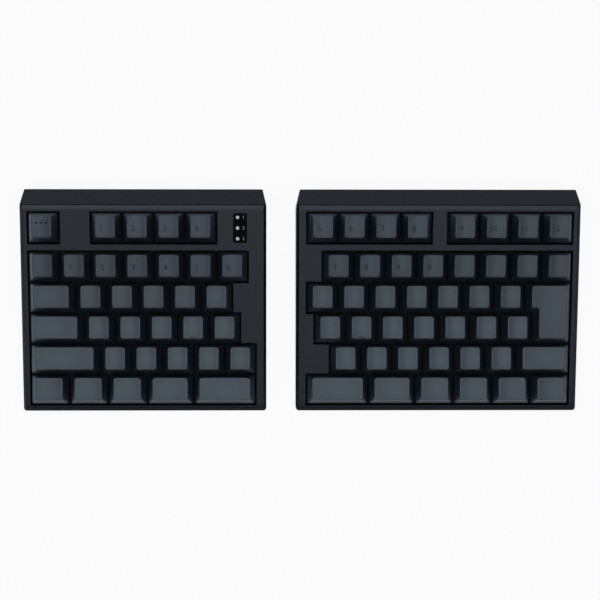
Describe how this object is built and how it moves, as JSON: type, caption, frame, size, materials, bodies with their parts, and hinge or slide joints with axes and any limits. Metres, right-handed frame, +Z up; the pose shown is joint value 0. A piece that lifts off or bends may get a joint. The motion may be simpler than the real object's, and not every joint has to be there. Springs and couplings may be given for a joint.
{
  "type": "split keyboard",
  "caption": "Ergonomic split keyboard: two wedge-shaped halves with sculpted, sprung keys, an indicator strip, link and host ports, rubber pads and folding feet.",
  "frame": {"origin": "on the desk under the middle of the two halves together", "axes": "+X towards the right half, +Y towards the back, away from the user, +Z up"},
  "size_m": [0.3406, 0.136, 0.0453],
  "materials": {
    "case": "fine texture",
    "keycaps": "fine texture",
    "plate": "black powder coat",
    "board": "solder mask",
    "chips": "moulded",
    "housings": "moulded",
    "springs": "bright wire",
    "stabilizers": "moulded",
    "sockets": "stamped shell",
    "feet": "matte",
    "screws": "zinc plated",
    "window": "gloss",
    "light_guides": "clear to milky",
    "legs": "fine texture"
  },
  "bodies": {
    "left_half": {"left_top_case": "case", "left_bottom_case": "case", "left_switch_plate": "plate", "left_circuit_board": "board", "left_board_parts": "chips", "left_switch_housings": "housings", "left_switch_springs": "springs", "left_stabilizers": "stabilizers", "left_sockets": "sockets", "left_rubber_feet": "feet", "left_case_screws": "screws", "left_plate_screws": "screws", "indicator_window": "window", "indicator_light_guides": "light_guides"},
    "right_half": {"right_top_case": "case", "right_bottom_case": "case", "right_switch_plate": "plate", "right_circuit_board": "board", "right_board_parts": "chips", "right_switch_housings": "housings", "right_switch_springs": "springs", "right_stabilizers": "stabilizers", "right_socket": "sockets", "right_rubber_feet": "feet", "right_case_screws": "screws", "right_plate_screws": "screws"},
    "escape_key": {"escape_key": "keycaps"},
    "left_function_keys": {"left_function_keys": "keycaps"},
    "left_number_keys": {"left_number_keys": "keycaps"},
    "tab_key": {"tab_key": "keycaps"},
    "left_upper_keys": {"left_upper_keys": "keycaps"},
    "lock_key": {"lock_key": "keycaps"},
    "left_home_keys": {"left_home_keys": "keycaps"},
    "left_homing_key": {"left_homing_key": "keycaps"},
    "left_shift_key": {"left_shift_key": "keycaps"},
    "left_lower_keys": {"left_lower_keys": "keycaps"},
    "left_bottom_key_1": {"left_bottom_key_1": "keycaps"},
    "left_bottom_key_2": {"left_bottom_key_2": "keycaps"},
    "left_bottom_key_3": {"left_bottom_key_3": "keycaps"},
    "left_bottom_key_4": {"left_bottom_key_4": "keycaps"},
    "left_space_key": {"left_space_key": "keycaps"},
    "right_inner_function_keys": {"right_inner_function_keys": "keycaps"},
    "right_outer_function_keys": {"right_outer_function_keys": "keycaps"},
    "right_number_keys": {"right_number_keys": "keycaps"},
    "right_upper_keys": {"right_upper_keys": "keycaps"},
    "enter_key": {"enter_key": "keycaps"},
    "right_home_keys": {"right_home_keys": "keycaps"},
    "right_homing_key": {"right_homing_key": "keycaps"},
    "right_lower_keys": {"right_lower_keys": "keycaps"},
    "right_shift_key": {"right_shift_key": "keycaps"},
    "right_space_key": {"right_space_key": "keycaps"},
    "right_bottom_key_2": {"right_bottom_key_2": "keycaps"},
    "right_bottom_key_3": {"right_bottom_key_3": "keycaps"},
    "right_bottom_key_4": {"right_bottom_key_4": "keycaps"},
    "right_bottom_key_5": {"right_bottom_key_5": "keycaps"},
    "right_bottom_key_6": {"right_bottom_key_6": "keycaps"},
    "left_outer_leg": {"left_outer_leg": "legs"},
    "left_inner_leg": {"left_inner_leg": "legs"},
    "right_inner_leg": {"right_inner_leg": "legs"},
    "right_outer_leg": {"right_outer_leg": "legs"}
  },
  "joints": [
    {"name": "halves_spread", "type": "slide", "parent": "left_half", "child": "right_half", "axis": [1, 0, 0], "range_m": [-0.0175, 0.15]},
    {"name": "escape_key_press", "type": "slide", "parent": "left_half", "child": "escape_key", "axis": [0, 0.1392, -0.9903], "range_m": [0, 0.004], "stiffness_N_per_m": 75, "springref_m": -0.004},
    {"name": "left_function_keys_press", "type": "slide", "parent": "left_half", "child": "left_function_keys", "axis": [0, 0.1392, -0.9903], "range_m": [0, 0.004], "stiffness_N_per_m": 300, "springref_m": -0.004},
    {"name": "left_number_keys_press", "type": "slide", "parent": "left_half", "child": "left_number_keys", "axis": [0, 0.1392, -0.9903], "range_m": [0, 0.004], "stiffness_N_per_m": 525, "springref_m": -0.004, "deforming": ["left_switch_springs"]},
    {"name": "tab_key_press", "type": "slide", "parent": "left_half", "child": "tab_key", "axis": [0, 0.1392, -0.9903], "range_m": [0, 0.004], "stiffness_N_per_m": 75, "springref_m": -0.004},
    {"name": "left_upper_keys_press", "type": "slide", "parent": "left_half", "child": "left_upper_keys", "axis": [0, 0.1392, -0.9903], "range_m": [0, 0.004], "stiffness_N_per_m": 375, "springref_m": -0.004},
    {"name": "lock_key_press", "type": "slide", "parent": "left_half", "child": "lock_key", "axis": [0, 0.1392, -0.9903], "range_m": [0, 0.004], "stiffness_N_per_m": 75, "springref_m": -0.004},
    {"name": "left_home_keys_press", "type": "slide", "parent": "left_half", "child": "left_home_keys", "axis": [0, 0.1392, -0.9903], "range_m": [0, 0.004], "stiffness_N_per_m": 300, "springref_m": -0.004},
    {"name": "left_homing_key_press", "type": "slide", "parent": "left_half", "child": "left_homing_key", "axis": [0, 0.1392, -0.9903], "range_m": [0, 0.004], "stiffness_N_per_m": 75, "springref_m": -0.004},
    {"name": "left_shift_key_press", "type": "slide", "parent": "left_half", "child": "left_shift_key", "axis": [0, 0.1392, -0.9903], "range_m": [0, 0.004], "stiffness_N_per_m": 75, "springref_m": -0.004},
    {"name": "left_lower_keys_press", "type": "slide", "parent": "left_half", "child": "left_lower_keys", "axis": [0, 0.1392, -0.9903], "range_m": [0, 0.004], "stiffness_N_per_m": 375, "springref_m": -0.004},
    {"name": "left_bottom_key_1_press", "type": "slide", "parent": "left_half", "child": "left_bottom_key_1", "axis": [0, 0.1392, -0.9903], "range_m": [0, 0.004], "stiffness_N_per_m": 75, "springref_m": -0.004},
    {"name": "left_bottom_key_2_press", "type": "slide", "parent": "left_half", "child": "left_bottom_key_2", "axis": [0, 0.1392, -0.9903], "range_m": [0, 0.004], "stiffness_N_per_m": 75, "springref_m": -0.004},
    {"name": "left_bottom_key_3_press", "type": "slide", "parent": "left_half", "child": "left_bottom_key_3", "axis": [0, 0.1392, -0.9903], "range_m": [0, 0.004], "stiffness_N_per_m": 75, "springref_m": -0.004},
    {"name": "left_bottom_key_4_press", "type": "slide", "parent": "left_half", "child": "left_bottom_key_4", "axis": [0, 0.1392, -0.9903], "range_m": [0, 0.004], "stiffness_N_per_m": 75, "springref_m": -0.004},
    {"name": "left_space_key_press", "type": "slide", "parent": "left_half", "child": "left_space_key", "axis": [0, 0.1392, -0.9903], "range_m": [0, 0.004], "stiffness_N_per_m": 75, "springref_m": -0.004},
    {"name": "right_inner_function_keys_press", "type": "slide", "parent": "right_half", "child": "right_inner_function_keys", "axis": [0, 0.1392, -0.9903], "range_m": [0, 0.004], "stiffness_N_per_m": 300, "springref_m": -0.004},
    {"name": "right_outer_function_keys_press", "type": "slide", "parent": "right_half", "child": "right_outer_function_keys", "axis": [0, 0.1392, -0.9903], "range_m": [0, 0.004], "stiffness_N_per_m": 300, "springref_m": -0.004},
    {"name": "right_number_keys_press", "type": "slide", "parent": "right_half", "child": "right_number_keys", "axis": [0, 0.1392, -0.9903], "range_m": [0, 0.004], "stiffness_N_per_m": 600, "springref_m": -0.004, "deforming": ["right_switch_springs"]},
    {"name": "right_upper_keys_press", "type": "slide", "parent": "right_half", "child": "right_upper_keys", "axis": [0, 0.1392, -0.9903], "range_m": [0, 0.004], "stiffness_N_per_m": 525, "springref_m": -0.004},
    {"name": "enter_key_press", "type": "slide", "parent": "right_half", "child": "enter_key", "axis": [0, 0.1392, -0.9903], "range_m": [0, 0.004], "stiffness_N_per_m": 75, "springref_m": -0.004},
    {"name": "right_home_keys_press", "type": "slide", "parent": "right_half", "child": "right_home_keys", "axis": [0, 0.1392, -0.9903], "range_m": [0, 0.004], "stiffness_N_per_m": 450, "springref_m": -0.004},
    {"name": "right_homing_key_press", "type": "slide", "parent": "right_half", "child": "right_homing_key", "axis": [0, 0.1392, -0.9903], "range_m": [0, 0.004], "stiffness_N_per_m": 75, "springref_m": -0.004},
    {"name": "right_lower_keys_press", "type": "slide", "parent": "right_half", "child": "right_lower_keys", "axis": [0, 0.1392, -0.9903], "range_m": [0, 0.004], "stiffness_N_per_m": 450, "springref_m": -0.004},
    {"name": "right_shift_key_press", "type": "slide", "parent": "right_half", "child": "right_shift_key", "axis": [0, 0.1392, -0.9903], "range_m": [0, 0.004], "stiffness_N_per_m": 75, "springref_m": -0.004},
    {"name": "right_space_key_press", "type": "slide", "parent": "right_half", "child": "right_space_key", "axis": [0, 0.1392, -0.9903], "range_m": [0, 0.004], "stiffness_N_per_m": 75, "springref_m": -0.004},
    {"name": "right_bottom_key_2_press", "type": "slide", "parent": "right_half", "child": "right_bottom_key_2", "axis": [0, 0.1392, -0.9903], "range_m": [0, 0.004], "stiffness_N_per_m": 75, "springref_m": -0.004},
    {"name": "right_bottom_key_3_press", "type": "slide", "parent": "right_half", "child": "right_bottom_key_3", "axis": [0, 0.1392, -0.9903], "range_m": [0, 0.004], "stiffness_N_per_m": 75, "springref_m": -0.004},
    {"name": "right_bottom_key_4_press", "type": "slide", "parent": "right_half", "child": "right_bottom_key_4", "axis": [0, 0.1392, -0.9903], "range_m": [0, 0.004], "stiffness_N_per_m": 75, "springref_m": -0.004},
    {"name": "right_bottom_key_5_press", "type": "slide", "parent": "right_half", "child": "right_bottom_key_5", "axis": [0, 0.1392, -0.9903], "range_m": [0, 0.004], "stiffness_N_per_m": 75, "springref_m": -0.004},
    {"name": "right_bottom_key_6_press", "type": "slide", "parent": "right_half", "child": "right_bottom_key_6", "axis": [0, 0.1392, -0.9903], "range_m": [0, 0.004], "stiffness_N_per_m": 75, "springref_m": -0.004},
    {"name": "left_outer_leg_fold", "type": "hinge", "parent": "left_half", "child": "left_outer_leg", "pos_m": [-0.15232, 0.05096, 0.0041], "axis": [1, 0, 0], "range_deg": [0, 100]},
    {"name": "left_inner_leg_fold", "type": "hinge", "parent": "left_half", "child": "left_inner_leg", "pos_m": [-0.04501, 0.05096, 0.0041], "axis": [1, 0, 0], "range_deg": [0, 100]},
    {"name": "right_inner_leg_fold", "type": "hinge", "parent": "right_half", "child": "right_inner_leg", "pos_m": [0.02719, 0.05096, 0.0041], "axis": [1, 0, 0], "range_deg": [0, 100]},
    {"name": "right_outer_leg_fold", "type": "hinge", "parent": "right_half", "child": "right_outer_leg", "pos_m": [0.15232, 0.05096, 0.0041], "axis": [1, 0, 0], "range_deg": [0, 100]}
  ]
}
